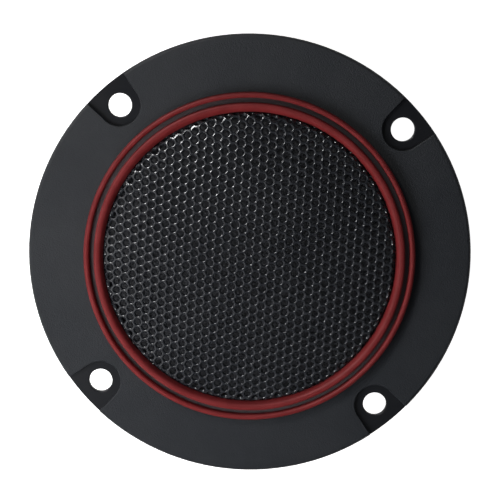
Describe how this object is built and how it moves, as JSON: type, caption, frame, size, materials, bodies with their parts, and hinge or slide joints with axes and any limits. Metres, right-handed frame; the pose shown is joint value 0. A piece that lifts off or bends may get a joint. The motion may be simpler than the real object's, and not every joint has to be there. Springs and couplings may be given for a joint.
{
  "type": "car tweeter",
  "caption": "Round flange-mounted dome tweeter with a domed perforated grille inside two red trim beads, a ring-magnet motor behind and blade terminals.",
  "frame": {"origin": "centre of the screw-hole circle on the mounting plane, the back face of the flange", "axes": "+Z out of the grille along the speaker's axis, +X and +Y across the flange with a screw hole at 45 degrees between them, terminals on the -Y side"},
  "size_m": [0.1, 0.1, 0.0351],
  "materials": {
    "grained_black_plastic": "fine moulded grain, satin",
    "red_lacquer": "deep red gloss",
    "black_coated_steel": "semi-gloss black coat on perforated sheet",
    "scrim": "fine open black weave",
    "foam": "closed-cell foam",
    "black_moulding": "plain moulded",
    "silk": "doped silk, tacky sheen",
    "former": "thin rolled foil",
    "copper_wire": "enamelled copper winding",
    "zinc_plate": "bright zinc plated, turned",
    "ferrite": "ground and tumbled ferrite",
    "felt": "pressed wool felt",
    "screw_steel": "yellow zinc screws",
    "board_laminate": "brown paper laminate",
    "tinned_brass": "tinned blades and strips",
    "capacitor_sleeve": "shrink sleeve",
    "wire_sleeve_red": "insulated wire",
    "wire_sleeve_black": "insulated wire",
    "tinsel": "braided tinsel"
  },
  "bodies": {
    "housing": {"flange_plate": "grained_black_plastic", "outer_trim_ring": "red_lacquer", "inner_trim_ring": "red_lacquer", "grille": "black_coated_steel", "scrim_cloth": "scrim", "mounting_gasket": "foam", "waveguide": "black_moulding", "diaphragm_ring": "black_moulding", "sealing_ring": "foam", "surround": "silk", "coil_leads": "tinsel", "top_plate": "zinc_plate", "magnet": "ferrite", "yoke": "zinc_plate", "damping_disc": "felt", "vent_plug": "foam", "motor_screws": "screw_steel", "positive_contact": "tinned_brass", "negative_contact": "tinned_brass", "terminal_board": "board_laminate", "positive_lug": "tinned_brass", "negative_lug": "tinned_brass", "lug_rivets": "tinned_brass", "board_rivets": "tinned_brass", "capacitor": "capacitor_sleeve", "capacitor_pad": "foam", "capacitor_contact_lead": "wire_sleeve_red", "capacitor_lug_lead": "wire_sleeve_red", "negative_wire": "wire_sleeve_black"},
    "diaphragm": {"dome": "silk", "coil_former": "former", "coil_winding": "copper_wire"}
  },
  "joints": [
    {"name": "dome_travel", "type": "slide", "parent": "housing", "child": "diaphragm", "axis": [0, 0, 1], "range_m": [-0.0005, 0.0005], "stiffness_N_per_m": 60, "deforming": ["surround", "coil_leads"]}
  ]
}
